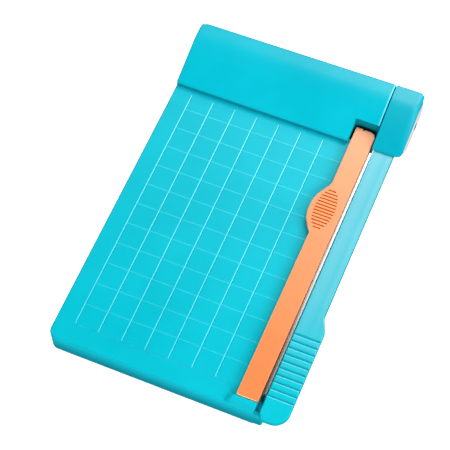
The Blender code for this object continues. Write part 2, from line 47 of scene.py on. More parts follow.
WIDTH, LENGTH, INSET = 129.2, 204.0, 0.01   # the inset keeps rounded numbers inside the CAD model's box
LEFT, BACK, ARM_TIP = -WIDTH / 2, LENGTH / 2 - INSET, -LENGTH / 2 + INSET

# Casing
TABLE_Z, WALL, FOOT_DROP = 14.2, 2.2, 1.5
SIDE_X, FRONT = 47.0, -99.5                 # the table's right and front edges
PLATE_Z = TABLE_Z - WALL                    # the underside of the table's plate
PANEL_Z = TABLE_Z - 0.2                     # the sunk panel that carries the grid
PANEL_FRONT, PANEL_BACK = -101.0, 66.5      # beyond the edge, and under the header
BLOCK_Y, BLOCK_Z = -94.5, 16.8              # the stop at the front right
BLOCK_ROOT_Z = PLATE_Z + 0.6
POST_X, POST_Y, POST_Z = 51.0, -97.2, 12.6
BOTTOM_COVER, BOSS_R = 1.8, 3.4             # the cover's thickness, and the bosses that it is screwed to

# Grid
GRID, LINES, CROSS_LINES = 12.7, 7, 11
FIRST_X, FIRST_Y = -53.9, 50.65             # the grid's left line and its back cross line
LINE_WIDTH, LINE_DEPTH, LINE_ENDS = 0.84, 0.24, (-87.9, 60.2)
CROSS_WIDTH, CROSS_DEPTH, CROSS_ENDS = 0.6, 0.14, (FIRST_X + 0.5, 36.0)
DIMPLE_Y, DIMPLE_R = -88.0, 0.55            # at the front end of each long line
BORDER_Y = -88.85                           # the panel's front edge

# Header and hub
HEADER_Y, HEADER_END_X = 63.2, 48.0
HEADER_LOW, HEADER_FRONT_Z = TABLE_Z + GAP, TABLE_Z + 3.1
CREST_Y, CREST_Z = 91.5, TABLE_Z + 11.95
BACK_EDGE_Z, BACK_LIFT = TABLE_Z + 10.4, 1.6
NOTCH_X, NOTCH_Y = 34.7, 75.5
COVER_WALL, HUB_WALL = 1.8, 1.6
HUB_X, HUB_Y, CAP_X = (48.6, WIDTH / 2), 62.6, 62.4
CORNER_R = 3.5                              # the casing's back left corner, seen from above

# Cutting arm
ARM_X, ARM_RIGHT, HANDLE_RIGHT = 49.7, 60.7, 64.0
ARM_TOP, ARM_BOTTOM, ARM_BACK = 17.0, 13.4, 69.5
ARM_RAIL, ARM_RAIL_Z = 2.2, 5.5             # the wall that carries the blade: its thickness and lower edge
BLADE_FRONT, BLADE_SCREW_Z = -89.0, 8.5
FIXED_SCREW_Y, MOVING_SCREW_Y = (-82.0, -36.0, 13.0, 54.0), (-80.0, -20.0, 40.0)
HANDLE_GROOVES, GROOVE_PITCH, FIRST_GROOVE_Y = 10, 3.985, -53.2
HANDLE_GROOVE_WIDTH, HANDLE_GROOVE_DEPTH = 1.8, 0.8
HANDLE_Y = -45.0                            # every handle groove is in front of this
PIVOT = (88.0, 12.0)
BOLT_R, BUSH_R, FLANGE_R, BOLT_HEAD_R = 3.0, 4.0, 5.2, 3.9
CORE_X = (48.9, 61.8)

# Press bar
BAR_X, BAR_Y, BAR_Z = (35.5, 47.0), (-94.2, 73.1), (14.6, 16.8)
BAR_SET = 0.7                               # how far right of its front end the bar lies at the back
BAR_PIN, BAR_PIN_R, KNUCKLE_R = (70.0, 11.6), 0.9, 2.2
KNUCKLES_X = ((36.4, 37.9), (42.1, 44.2))
PAD_X, PAD_Y = 38.4, 19.2
PAD_GROOVES, PAD_PITCH, PAD_HALF_WIDTH, PAD_HALF_LENGTH = 13, 1.945, 5.5, 12.6
PAD_GROOVE_WIDTH, PAD_GROOVE_DEPTH, PAD_RECESS = 1.1, 0.5, 0.05

# Screws
SCREW_R, HUB_SCREW_HEAD_R = 1.2, 2.1
BOTTOM_SCREWS = ((-56, -90), (38, -88), (-56, 5), (38, 5), (-56, 93), (18, 93))
HEADER_SCREWS = ((-50, 82), (-12, 82), (20, 82))
HUB_SCREWS = ((52.3, 76), (58.3, 76))


# Outlines: lists of 2-D points in millimetres

def rounded(corners, step=6.0):
    """An outline from (a, b) or (a, b, radius) corners. A radius becomes chords of `step` degrees each."""
    points = []
    for i, corner in enumerate(corners):
        here = Vector(corner[:2])
        radius = corner[2] if len(corner) > 2 else 0.0
        if not radius:
            points.append(here)
            continue
        before = (Vector(corners[i - 1][:2]) - here).normalized()
        after = (Vector(corners[(i + 1) % len(corners)][:2]) - here).normalized()
        half = before.angle(after) / 2
        centre = here + (before + after).normalized() * (radius / math.sin(half))
        start = here + before * (radius / math.tan(half)) - centre
        turn = start.angle_signed(here + after * (radius / math.tan(half)) - centre)
        chords = max(2, round(abs(math.degrees(turn)) / step))
        for k in range(chords + 1):
            angle = -turn * k / chords
            spin = Matrix(((math.cos(angle), -math.sin(angle)), (math.sin(angle), math.cos(angle))))
            points.append(centre + spin @ start)
    return points


def arc(centre, radius, first, last, count):
    angles = [math.radians(first + (last - first) * k / count) for k in range(count + 1)]
    return [Vector((centre[0] + radius * math.cos(a), centre[1] + radius * math.sin(a))) for a in angles]


def circle(centre, radius, sides):
    return arc(centre, radius, 0, 360 - 360 / sides, sides - 1)


def offset(points, distance):
    """The outline moved outwards by `distance`, or inwards if it is negative."""
    area = sum(a.x * b.y - b.x * a.y for a, b in zip(points, points[1:] + points[:1]))
    side = 1 if area > 0 else -1
    moved = []
    for i, here in enumerate(points):
        one = (here - points[i - 1]).normalized()
        two = (points[(i + 1) % len(points)] - here).normalized()
        first, second = Vector((one.y, -one.x)) * side, Vector((two.y, -two.x)) * side
        between = (first + second).normalized()
        moved.append(here + between * (distance / max(0.3, between.dot(first))))
    return moved


def resampled(points, spacing):
    """The outline with its long sides divided, so that a bend can reach into them."""
    made = []
    for here, following in zip(points, points[1:] + points[:1]):
        parts = max(1, round((following - here).length / spacing))
        made += [here.lerp(following, k / parts) for k in range(parts)]
    return made


def end_stations(edge, radius, steps, inwards):
    """The (place, inset) stations that round the end of an extrusion, from its end face inwards."""
    angles = [math.pi / 2 * k / steps for k in range(steps + 1)]
    return [(edge + inwards * radius * (1 - math.cos(a)), radius * (1 - math.sin(a))) for a in angles]


def groove_section(along, face_z, width, depth, lip=0.05):
    """The (across, up) section of a cutter for a soft-edged groove, which stands `lip` above the face."""
    steps = 8
    half = width / 2
    shares = [2 * k / steps - 1 for k in range(steps + 1)]
    under = [Vector((along + half * s, -depth * 0.5 * (1 + math.cos(math.pi * s)))) for s in shares]
    section = under + [Vector((along + half, lip)), Vector((along - half, lip))]
    return [Vector((point.x, point.y + face_z)) for point in section]


# Meshes

def placed(axis, a, b, along):
    """A point of an outline, in metres, on a plane across `axis`."""
    order = {"X": (along, a, b), "Y": (a, along, b), "Z": (a, b, along)}[axis]
    return Vector(order) * MM


def add_loops(bm, loops):
    """Closes a row of equally long loops of points, in metres, into one solid."""
    rings = [[bm.verts.new(point) for point in loop] for loop in loops]
    faces = [bm.faces.new(rings[0]), bm.faces.new(rings[-1])]
    for one, two in zip(rings, rings[1:]):
        for i in range(len(one)):
            faces.append(bm.faces.new((one[i - 1], one[i], two[i], two[i - 1])))
    bmesh.ops.recalc_face_normals(bm, faces=faces)


def add_prism(bm, outline, low, high, axis="Z"):
    add_loops(bm, [[placed(axis, *point, level) for point in outline] for level in (low, high)])


def add_box(bm, x, y, z):
    add_prism(bm, [Vector((x[i], y[j])) for i, j in ((0, 0), (1, 0), (1, 1), (0, 1))], *z)


def add_cylinder(bm, centre, radius, low, high, axis="Z", sides=48):
    add_prism(bm, circle(centre, radius, sides), low, high, axis)


def add_rounded(bm, outline, low, high, low_r, high_r, axis="Z", share=None, steps=5):
    """Extrudes an outline and rounds both rims. `share` gives a point its part of the rounding, 0 to 1."""
    shares = [share(point) if share else 1.0 for point in outline]
    levels = [(low_r, k / steps, low, 1) for k in range(steps + 1)]
    levels += [(high_r, 1 - k / steps, high, -1) for k in range(steps + 1)]
    loops = []
    for radius, part, level, way in levels:
        angle = part * math.pi / 2
        inner = offset(outline, -radius * (1 - math.sin(angle)))
        rise = radius * (1 - math.cos(angle))
        loops.append([
            placed(axis, *point.lerp(moved, s), level + way * rise * max(s, 0.04))
            for point, moved, s in zip(outline, inner, shares)
        ])
    add_loops(bm, loops)


def rods(centres, radius, low, high, axis="Z"):
    """Plain cylinders for screw holes and bosses, as `shape` takes them."""
    return [(add_cylinder, centre, radius, low, high, axis, 24) for centre in centres]


def shape(*parts):
    """A mesh of several solids, each a function and its arguments."""
    bm = bmesh.new()
    for make, *arguments in parts:
        make(bm, *arguments)
    return bm


def scene_object(name, bm):
    mesh = bpy.data.meshes.new(name)
    bm.to_mesh(mesh)
    bm.free()
    obj = bpy.data.objects.new(name, mesh)
    bpy.context.scene.collection.objects.link(obj)
    return obj


def boolean(obj, tool_bm, operation="DIFFERENCE"):
    """Cuts a mesh from the object, or joins it on, and keeps the result as the object's mesh."""
    tool = scene_object("tool", tool_bm)
    modifier = obj.modifiers.new("cut", "BOOLEAN")
    modifier.operation = operation
    modifier.object = tool
    modifier.solver = "EXACT"
    depsgraph = bpy.context.evaluated_depsgraph_get()
    result = bpy.data.meshes.new_from_object(obj.evaluated_get(depsgraph))
    obj.modifiers.clear()
    old, obj.data = obj.data, result
    result.name = obj.name
    bpy.data.meshes.remove(old)
    bpy.data.objects.remove(tool)


def painted(obj, base, *rules):
    """Gives each face the material of the first rule that it passes, or else the base material.

    A rule is a material and a test of the face's centre, in millimetres, and its normal.
    """
    for mat in (base, *(mat for mat, passes in rules)):
        obj.data.materials.append(mat)
    for face in obj.data.polygons:
        at = face.center / MM
        places = (place for place, (mat, passes) in enumerate(rules, 1) if passes(at, face.normal))
        face.material_index = next(places, 0)


def finished(obj, body, node, sharp=28):
    """Sets the shading and body of a piece, and hides the CAD node that it stands for."""
    mesh = obj.data
    bm = bmesh.new()
    bm.from_mesh(mesh)
    bmesh.ops.remove_doubles(bm, verts=bm.verts, dist=2e-6)
    bmesh.ops.dissolve_degenerate(bm, edges=bm.edges, dist=2e-6)
    bm.to_mesh(mesh)
    bm.free()
    mesh.shade_smooth()
    mesh.set_sharp_from_angle(angle=math.radians(sharp))
    normals = obj.modifiers.new("weighted_normals", "WEIGHTED_NORMAL")
    normals.keep_sharp = True
    normals.weight = 100
    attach(obj, body)
    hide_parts(node)


def corner_rounded(point, radius, right=None, left=None, front=None, back=None):
    """Moves a point near the corner of two sides, given in millimetres, onto a plan corner of that radius."""
    x, y = point.x / MM, point.y / MM
    u = x - (right - radius) if right is not None else (left + radius) - x
    v = (front + radius) - y if front is not None else y - (back - radius)
    if u <= 0 or v <= 0:
        return point
    share = max(u, v) / math.hypot(u, v)
    u, v = u * share, v * share
    x = right - radius + u if right is not None else left + radius - u
    y = front + radius - v if front is not None else back - radius + v
    return Vector((x * MM, y * MM, point.z))


# Materials

class Nodes:
    """A material's node tree, with short names for the nodes it takes."""

    def __init__(self, name):
        self.material = bpy.data.materials.new(name)
        self.material.use_nodes = True
        self.tree = self.material.node_tree
        self.shader = self.tree.nodes["Principled BSDF"]

    def add(self, kind, **values):
        """Adds a node. A value whose name starts with in_ is an input's, and any other is a setting's."""
        node = self.tree.nodes.new(kind)
        for key, value in values.items():
            if key.startswith("in_"):
                node.inputs[key[3:].replace("_", " ")].default_value = value
            else:
                setattr(node, key, value)
        return node

    def link(self, source, target):
        self.tree.links.new(source, target)

    def feed(self, name, source):
        """Links a source to one of the shader's sockets."""
        self.link(source, self.shader.inputs[name])

    def fix(self, name, value):
        """Sets one of the shader's sockets to the same value all over."""
        self.shader.inputs[name].default_value = value

    def coordinates(self, scale=(1, 1, 1)):
        place = self.add("ShaderNodeTexCoord")
        mapping = self.add("ShaderNodeMapping")
        mapping.inputs["Scale"].default_value = scale
        self.link(place.outputs["Object"], mapping.inputs["Vector"])
        return mapping.outputs["Vector"]

    def noise(self, scale, detail=3.0, roughness=0.5, stretch=(1, 1, 1)):
        node = self.add("ShaderNodeTexNoise", in_Scale=scale, in_Detail=detail, in_Roughness=roughness)
        self.link(self.coordinates(stretch), node.inputs["Vector"])
        return node.outputs["Fac"]

    def ramp(self, source, stops):
        node = self.add("ShaderNodeValToRGB")
        elements = node.color_ramp.elements
        while len(elements) < len(stops):
            elements.new(0.5)
        for element, (position, colour) in zip(elements, stops):
            element.position = position
            element.color = (*colour, 1)
        self.link(source, node.inputs["Fac"])
        return node.outputs["Color"]

    def mix(self, share, one, two):
        node = self.add("ShaderNodeMix", data_type="RGBA")
        self.link(share, node.inputs["Factor"])
        self.link(one, node.inputs["A"])
        self.link(two, node.inputs["B"])
        return node.outputs["Result"]

    def along(self, start, end, axis="Y"):
        """How far a point lies along an axis, 0 to 1 between two places in metres."""
        split = self.add("ShaderNodeSeparateXYZ")
        self.link(self.coordinates(), split.inputs["Vector"])
        node = self.add("ShaderNodeMapRange", in_From_Min=start, in_From_Max=end)
        self.link(split.outputs[axis], node.inputs["Value"])
        return node.outputs["Result"]

    def profile(self, start, end, axis, stops):
        """A share that follows (place, share) stops along an axis, between two places in metres."""
        return self.ramp(self.along(start, end, axis), [(place, (share,) * 3) for place, share in stops])

    def spread(self, source, low, high):
        node = self.add("ShaderNodeMapRange", in_To_Min=low, in_To_Max=high)
        self.link(source, node.inputs["Value"])
        return node.outputs["Result"]

    def bump(self, source, distance, strength=1.0, after=None):
        node = self.add("ShaderNodeBump", in_Distance=distance, in_Strength=strength)
        self.link(source, node.inputs["Height"])
        if after:
            self.link(after, node.inputs["Normal"])
        return node.outputs["Normal"]


def linear(r, g, b):
    """A colour given in 0 to 255 display values, as the linear values a shader takes."""
    values = (r / 255, g / 255, b / 255)
    return tuple((c / 12.92 if c <= 0.04045 else ((c + 0.055) / 1.055) ** 2.4) for c in values)


def moulded(name, colour, roughness=0.4, specular=0.4, shift=0.05, back=None, back_specular=None,
            gradient=(-0.08, 0.07), lit=None, across=None):
    """Injection-moulded plastic: a fine spark-eroded grain, faint flow marks and slightly cloudy colour.

    `back` and `back_specular` are the colour and gloss that it changes to over `gradient`, two places in
    metres along Y or the axis named there; several materials below use the colour change for painted light
    and shade.
    `lit` is one more colour, a painted light, and the profile of its share, and `across` is a profile that
    the gloss is multiplied by.
    """
    grain = 0.000012
    n = Nodes(name)
    cloud = n.noise(28, 4, 0.55)

    def clouded(base):
        darker = tuple(c * (1 - shift) for c in base)
        lighter = tuple(min(1, c * (1 + shift) + 0.002) for c in base)
        return n.ramp(cloud, [(0.3, darker), (0.7, lighter)])

    colours = clouded(colour)
    graded = n.along(*gradient) if back or back_specular is not None else None
    if back:
        colours = n.mix(graded, colours, clouded(back))
    if lit:
        light, *profile = lit
        colours = n.mix(n.profile(*profile), colours, clouded(light))
    n.feed("Base Color", colours)
    if back_specular is None:
        n.fix("Specular IOR Level", specular)
    else:
        gloss = n.spread(graded, specular, back_specular)
        if across:
            product = n.add("ShaderNodeMath", operation="MULTIPLY")
            n.link(gloss, product.inputs[0])
            n.link(n.profile(*across), product.inputs[1])
            gloss = product.outputs["Value"]
        n.feed("Specular IOR Level", gloss)
    flow = n.noise(60, 3, 0.6, (1, 0.35, 1))
    n.feed("Roughness", n.spread(flow, roughness - 0.05, roughness + 0.06))
    fine = n.bump(n.noise(3800, 2, 0.6), grain)
    n.feed("Normal", n.bump(n.noise(120, 2, 0.4), grain * 2, 0.5, fine))
    return n.material


def ground_steel(name, colour, roughness=0.26, stretch=(60, 1, 1), front=None):
    """Ground metal: fine lines across the grinding direction. `front` is a darker colour for a front end,
    painted shade.
    """
    n = Nodes(name)
    lines = n.noise(260, 4, 0.65, stretch)
    colours = n.ramp(lines, [(0.25, tuple(c * 0.93 for c in colour)), (0.75, colour)])
    if front:
        front_shade = n.ramp(lines, [(0.25, tuple(c * 0.9 for c in front)), (0.75, front)])
        colours = n.mix(n.along(-0.095, -0.02), front_shade, colours)
    n.feed("Base Color", colours)
    n.feed("Roughness", n.spread(lines, roughness - 0.04, roughness + 0.06))
    n.feed("Normal", n.bump(lines, 0.0000005))
    n.fix("Metallic", 1.0)
    return n.material


def soft_rubber(name):
    n = Nodes(name)
    greys = [(0.3, (0.018, 0.018, 0.02)), (0.7, (0.035, 0.035, 0.038))]
    n.feed("Base Color", n.ramp(n.noise(400, 3), greys))
    n.feed("Roughness", n.spread(n.noise(150, 2), 0.7, 0.9))
    n.feed("Normal", n.bump(n.noise(2500, 2), 0.00003))
    return n.material


# Painted light: the table is lighter just in front of the header, against the header's shadow. The arm's
# gloss comes and goes across its width.
LIGHT_BY_HEADER = [(0.0, 0.0), (0.6, 0.3), (0.78, 0.9), (0.88, 1.0), (1.0, 0.0)]
ARM_WAVE = [(0.0, 0.7), (0.25, 1.0), (0.45, 0.86), (0.66, 0.6), (0.84, 0.92), (1.0, 0.6)]

TEAL = moulded("teal_moulded", (0.0, 0.49, 0.60), specular=0.06, back_specular=0.3)
# Painted light: a lighter teal on the table's top just in front of the header, against its shadow.
TEAL_TOP_LIT = moulded("teal_table_top_painted_light", (0.0, 0.49, 0.60), specular=0.06, back_specular=0.3,
                   lit=((0.0, 0.60, 0.75), 0.050, 0.064, "Y", LIGHT_BY_HEADER))
# Painted shade: the front wall is darker towards its foot and lighter near its top.
TEAL_WALL_SHADED = moulded("teal_front_wall_painted_shade", (0.0, 0.30, 0.39), specular=0.06, back=(0.0, 0.62, 0.76),
                    back_specular=0.1, gradient=(0.004, 0.0125, "Z"))
TEAL_COVER = moulded("teal_cover", (0.0, 0.485, 0.61), 0.36, 0.06, back=(0.0, 0.47, 0.59),
                     back_specular=0.36, gradient=(0.080, 0.098))
# Painted light: the hub cover is darker at the front and lighter towards its back, where the light comes
# from.
TEAL_HUB_LIT = moulded("teal_hub_painted_light", (0.0, 0.39, 0.51), 0.36, 0.06, back=(0.0, 0.44, 0.55),
                   back_specular=0.5, gradient=(0.068, 0.096))
# Painted highlight: a pale teal for edges that catch the light.
TEAL_EDGE_HIGHLIGHT = moulded("teal_painted_edge_highlight", (0.10, 0.74, 0.86), 0.36, 0.5)
# Painted shade: a darker teal for groove walls and rims that face away from the light.
TEAL_GROOVE_SHADE = moulded("teal_groove_painted_shade", (0.0, 0.40, 0.50), 0.5, 0.1)
# Painted shade: a dark teal under the header's front edge and on the notch's back wall.
TEAL_NOTCH_SHADE = moulded("teal_notch_painted_shade", (0.0, 0.24, 0.31), 0.6, 0.1)
# Painted shade: a near-black teal inside the bar's slot and the side cap's hole.
TEAL_PAINTED_SHADE = moulded("teal_inner_wall_painted_shade", (0.0, 0.14, 0.19), 0.6, 0.1)
# Painted highlight: the long lines are paler than the table, more so towards the back.
TEAL_LINE_HIGHLIGHT = moulded("teal_engraved_line_painted_highlight", (0.07, 0.69, 0.82), specular=0.3, back=(0.22, 0.88, 0.96))
# Painted highlight: the cross lines are a little paler than the table, more so towards the back.
TEAL_CROSS_LINE_HIGHLIGHT = moulded("teal_cross_line_painted_highlight", (0.01, 0.57, 0.69), specular=0.3, back=(0.055, 0.66, 0.78))
TEAL_ARM = moulded("teal_arm", (0.0, 0.52, 0.62), 0.36, 0.1, back=(0.02, 0.48, 0.59),
                   back_specular=1.65, gradient=(-0.085, -0.025), across=(0.0497, 0.0607, "X", ARM_WAVE))
# Painted highlight: the bar is paler and glossier towards its hinge.
ORANGE = moulded("orange_moulded_painted_highlight", (0.90, 0.225, 0.055), 0.38, 0.6, back=(0.93, 0.35, 0.14),
                 back_specular=1.0)
# Painted shade: a darker orange in the thumb pad's grooves.
ORANGE_GROOVE_SHADE = moulded("orange_groove_painted_shade", linear(216, 96, 28), roughness=0.5, specular=0.2)
ORANGE_PAD = moulded("orange_thumb_pad", (0.93, 0.34, 0.115), 0.38, 0.6)
# Painted highlight: a pale orange on the bar's rounded edges.
ORANGE_EDGE_HIGHLIGHT = moulded("orange_painted_edge_highlight", linear(248, 202, 150), roughness=0.4)
WHITE = moulded("white_moulded", (0.93, 0.97, 0.98), shift=0.02)
# Painted shade: the moving blade is darker towards its front end.
STEEL = ground_steel("ground_steel", (0.95, 0.96, 0.97), 0.32, (3, 0.2, 1), front=(0.42, 0.42, 0.38))
# Painted shade and a painted reflection of the orange bar: the fixed blade is tan, darker and browner towards
# its front end.
SHADED_BLADE_STEEL = ground_steel("blade_steel_painted_shade_and_reflection", (0.62, 0.58, 0.50), 0.34, (3, 0.2, 1), front=(0.22, 0.15, 0.10))
TURNED = ground_steel("turned_steel", (0.62, 0.63, 0.65), stretch=(20, 1, 1))
DARK_STEEL = ground_steel("blackened_steel", (0.06, 0.06, 0.065), 0.4, (6, 6, 6))
BRASS = ground_steel("turned_brass", (0.72, 0.50, 0.18), 0.3, (20, 1, 1))
RUBBER = soft_rubber("foot_rubber")


# Base

def grid_grooves():
    """Cutters for the long lines, for the cross lines with the panel's front edge, and for the dimples."""
    longs, crosses, dimples = bmesh.new(), bmesh.new(), bmesh.new()
    for k in range(LINES):
        x = FIRST_X + GRID * k
        add_prism(longs, groove_section(x, PANEL_Z, LINE_WIDTH, LINE_DEPTH), *LINE_ENDS, "Y")
        add_cylinder(dimples, (x, DIMPLE_Y), DIMPLE_R, PANEL_Z - 0.2, PANEL_Z + 0.1, "Z", 16)
    for k in range(CROSS_LINES):
        section = groove_section(FIRST_Y - GRID * k, PANEL_Z, CROSS_WIDTH, CROSS_DEPTH)
        add_prism(crosses, section, *CROSS_ENDS, "X")
    border = [
        Vector((BORDER_Y - 0.1, TABLE_Z + 0.1)), Vector((BORDER_Y - 0.05, PANEL_Z - 0.15)),
        Vector((BORDER_Y + 0.6, PANEL_Z + 0.03)),
    ]
    add_prism(crosses, border, FIRST_X + 1.2, 29.0, "X")
    return longs, crosses, dimples


def base_drafted(obj):
    """Leans the front wall out towards its foot."""
    reach, lean = 1.5, 0.2
    for vertex in obj.data.vertices:
        if vertex.co.y < (FRONT + reach) * MM:
            depth = (TABLE_Z * MM - vertex.co.z) / ((TABLE_Z - FOOT_DROP) * MM)
            share = min(1.0, ((FRONT + reach) * MM - vertex.co.y) / (reach * MM))
            vertex.co.y -= lean * MM * max(0.0, depth) * share


def block_loops():
    """The raised stop at the front right, which rises out of the table in a soft slope."""
    slope, steps, sunk = (30.0, 4.8), 8, 0.3
    front = FRONT - 0.02
    stations = []
    for k in range(steps + 1):
        part = k / steps
        stations.append((slope[0] + slope[1] * k / steps, part * part * (3 - 2 * part)))
    stations += [(35.5, 1.0), (46.3, 1.0), (46.7, 0.985), (46.95, 0.93)]
    loops = []
    for x, rise in stations:
        top = TABLE_Z - sunk + (BLOCK_Z - TABLE_Z + sunk) * rise
        back_r = min(0.5, (top - BLOCK_ROOT_Z - 0.1) / 3)
        outline = rounded([
            (BLOCK_Y, BLOCK_ROOT_Z), (BLOCK_Y, top, back_r), (front, top, (0.5 + 3.0 * rise) * 0.9),
            (front, BLOCK_ROOT_Z),
        ], 9)
        loops.append([placed("X", *point, x) for point in outline])
    return loops


def base_plate():
    """The casing's outer shape: the table with its sunk panel, hollow below."""
    # The two plain points on the left side end the wide rounding of the rim where the header begins.
    outline = rounded([
        (LEFT, FRONT, 5.0), (SIDE_X, FRONT, 0.7), (SIDE_X, BACK, 0.7), (LEFT, BACK, CORNER_R), (LEFT, 66.0),
        (LEFT, 62.8),
    ])

    def share(point):
        if point.x > SIDE_X - 0.8:
            return 0.24
        if point.y > 64:
            return 0.3
        return 0.9 + 0.1 * min(1.0, max(0.0, (FRONT + 5 - point.y) / 5))

    casing = (add_rounded, outline, FOOT_DROP, TABLE_Z, 0.5, 1.1, "Z", share, 8)
    obj = scene_object("table_base", shape(casing))
    base_drafted(obj)
    panel = rounded([
        (FIRST_X - 0.46, BORDER_Y, 1.2), (29.5, BORDER_Y, 5.0), (33.6, -93.5, 4.0), (34.9, PANEL_FRONT),
        (SIDE_X + 1, PANEL_FRONT), (SIDE_X + 1, PANEL_BACK), (FIRST_X - 0.46, PANEL_BACK),
    ])
    boolean(obj, shape((add_prism, panel, PANEL_Z, TABLE_Z + 1)))
    hollow = (add_box, (LEFT + WALL, SIDE_X - WALL), (FRONT + WALL, BACK - WALL), (-1, PLATE_Z))
    boolean(obj, shape(hollow))
    return obj


def on_grid(distance, count, reach):
    """Whether a distance from the grid's first line is within `reach` of one of its `count` lines."""
    line = distance / GRID
    return abs(line - round(line)) * GRID < reach and -0.5 < line < count - 0.5


def in_groove(at):
    return PANEL_Z - 0.29 < at.z < PANEL_Z - 0.005


def on_long_line(at):
    return in_groove(at) and BORDER_Y < at.y < 61 and on_grid(at.x - FIRST_X, LINES, 0.45)


def on_cross_line(at, normal):
    on_border = BORDER_Y - 0.2 < at.y < BORDER_Y + 0.6 and normal.z > 0.5
    on_cross = FIRST_X < at.x < 37 and on_grid(FIRST_Y - at.y, CROSS_LINES, 0.34)
    return in_groove(at) and (on_border or on_cross)


def in_bar_slot(at):
    return at.x > NOTCH_X and 66.6 < at.y < 76.5 and PLATE_Z - 1 < at.z < TABLE_Z - 0.1


def table_base():
    obj = base_plate()
    boolean(obj, shape((add_loops, block_loops())), "UNION")
    post_front = FRONT + 0.05
    post = rounded([
        (SIDE_X - 1, post_front), (POST_X, post_front, 1.0), (POST_X, POST_Y, 0.4), (SIDE_X - 1, POST_Y),
    ])
    boolean(obj, shape((add_rounded, post, FOOT_DROP, POST_Z, 0.3, 0.5)), "UNION")
    bar_slot = (add_box, (NOTCH_X, SIDE_X + 1), (66.5, 76.0), (PLATE_Z - 0.2, TABLE_Z + 1))
    spring_room = (add_box, (30.5, 41.6), (80.0, 97.0), (PLATE_Z - 1, TABLE_Z + 1))
    boolean(obj, shape(bar_slot, spring_room))
    pivot_boss = (add_box, (41.0, SIDE_X - 1.1), (80.5, 96.5), (4.0, 18.0))
    post_foot = (add_box, (SIDE_X - 1.0, POST_X), (POST_Y - 0.5, -82.0), (FOOT_DROP, 4.5))
    pin_boss = (add_box, (38.2, 41.8), (65.5, 72.6), (8.5, 13.2))
    screw_bosses = rods(BOTTOM_SCREWS, BOSS_R, FOOT_DROP + BOTTOM_COVER + GAP, PLATE_Z + 0.5)
    boolean(obj, shape(*screw_bosses, pivot_boss, post_foot, pin_boss), "UNION")
    boolean(obj, shape(
        (add_cylinder, PIVOT, BUSH_R + RUN, 40.0, SIDE_X + 1, "X"),
        *rods([BAR_PIN], BAR_PIN_R + RUN, 37.0, 43.0, "X"),
        *rods(BOTTOM_SCREWS, SCREW_R + GAP, 2.0, PLATE_Z - 1.5),
        *rods(HEADER_SCREWS, SCREW_R + GAP, PLATE_Z - 1, TABLE_Z + 1),
        *rods([(y, BLADE_SCREW_Z) for y in FIXED_SCREW_Y], SCREW_R + GAP, 44.0, SIDE_X + 1, "X"),
    ))
    for cutter in grid_grooves():
        boolean(obj, cutter)
    painted(
        obj, TEAL,
        # Painted shade: the front wall darkens towards its foot.
        (TEAL_WALL_SHADED, lambda at, n: n.y < -0.9 and at.y < FRONT + 0.5 and at.z > FOOT_DROP),
        # Painted shade inside the bar's slot.
        (TEAL_PAINTED_SHADE, lambda at, n: in_bar_slot(at)),
        # Painted shade on the right wall of each long line.
        (TEAL_GROOVE_SHADE, lambda at, n: on_long_line(at) and n.x < -0.3),
        # Painted highlight on the rest of each long line.
        (TEAL_LINE_HIGHLIGHT, lambda at, n: on_long_line(at)),
        # Painted highlight on the cross lines and the panel's front edge.
        (TEAL_CROSS_LINE_HIGHLIGHT, on_cross_line),
        # Painted light on the table's top just in front of the header.
        (TEAL_TOP_LIT, lambda at, n: n.z > 0.5 and at.z > TABLE_Z - 0.6),
    )
    finished(obj, "casing", "base_shell", sharp=32)


# Header and hub

def header_profile():
    return rounded([
        (HEADER_Y, HEADER_LOW), (HEADER_Y + 0.2, HEADER_FRONT_Z, 1.3), (CREST_Y, CREST_Z, 20.0),
        (BACK, BACK_EDGE_Z, 3.6), (BACK, HEADER_LOW),
    ], 4)


def lifted(point):
    """Raises the covers' back edge a little towards the right, as in the photo, but not past the crest."""
    x, y, z = point / MM
    if z < TABLE_Z + 4 or y < CREST_Y:
        return point
    share = min((y - CREST_Y) / (BACK - CREST_Y), 1.0) * (x - LEFT) / (HUB_X[1] - LEFT)
    return Vector((x, y, min(z + BACK_LIFT * share, max(z, CREST_Z - 0.42)))) * MM


def header_hollow():
    """The outlines of the room inside the header, in front of the notch's back wall and behind it."""
    low = TABLE_Z - 2
    inside = offset(header_profile(), -COVER_WALL)
    whole = [Vector((p.x, p.y if p.y > TABLE_Z + 2.1 else low)) for p in inside]
    wall_y = NOTCH_Y + COVER_WALL
    behind = [Vector((wall_y, low)), Vector((wall_y, TABLE_Z + 5.8)), *(p for p in whole if p.x > wall_y + 1)]
    return whole, behind


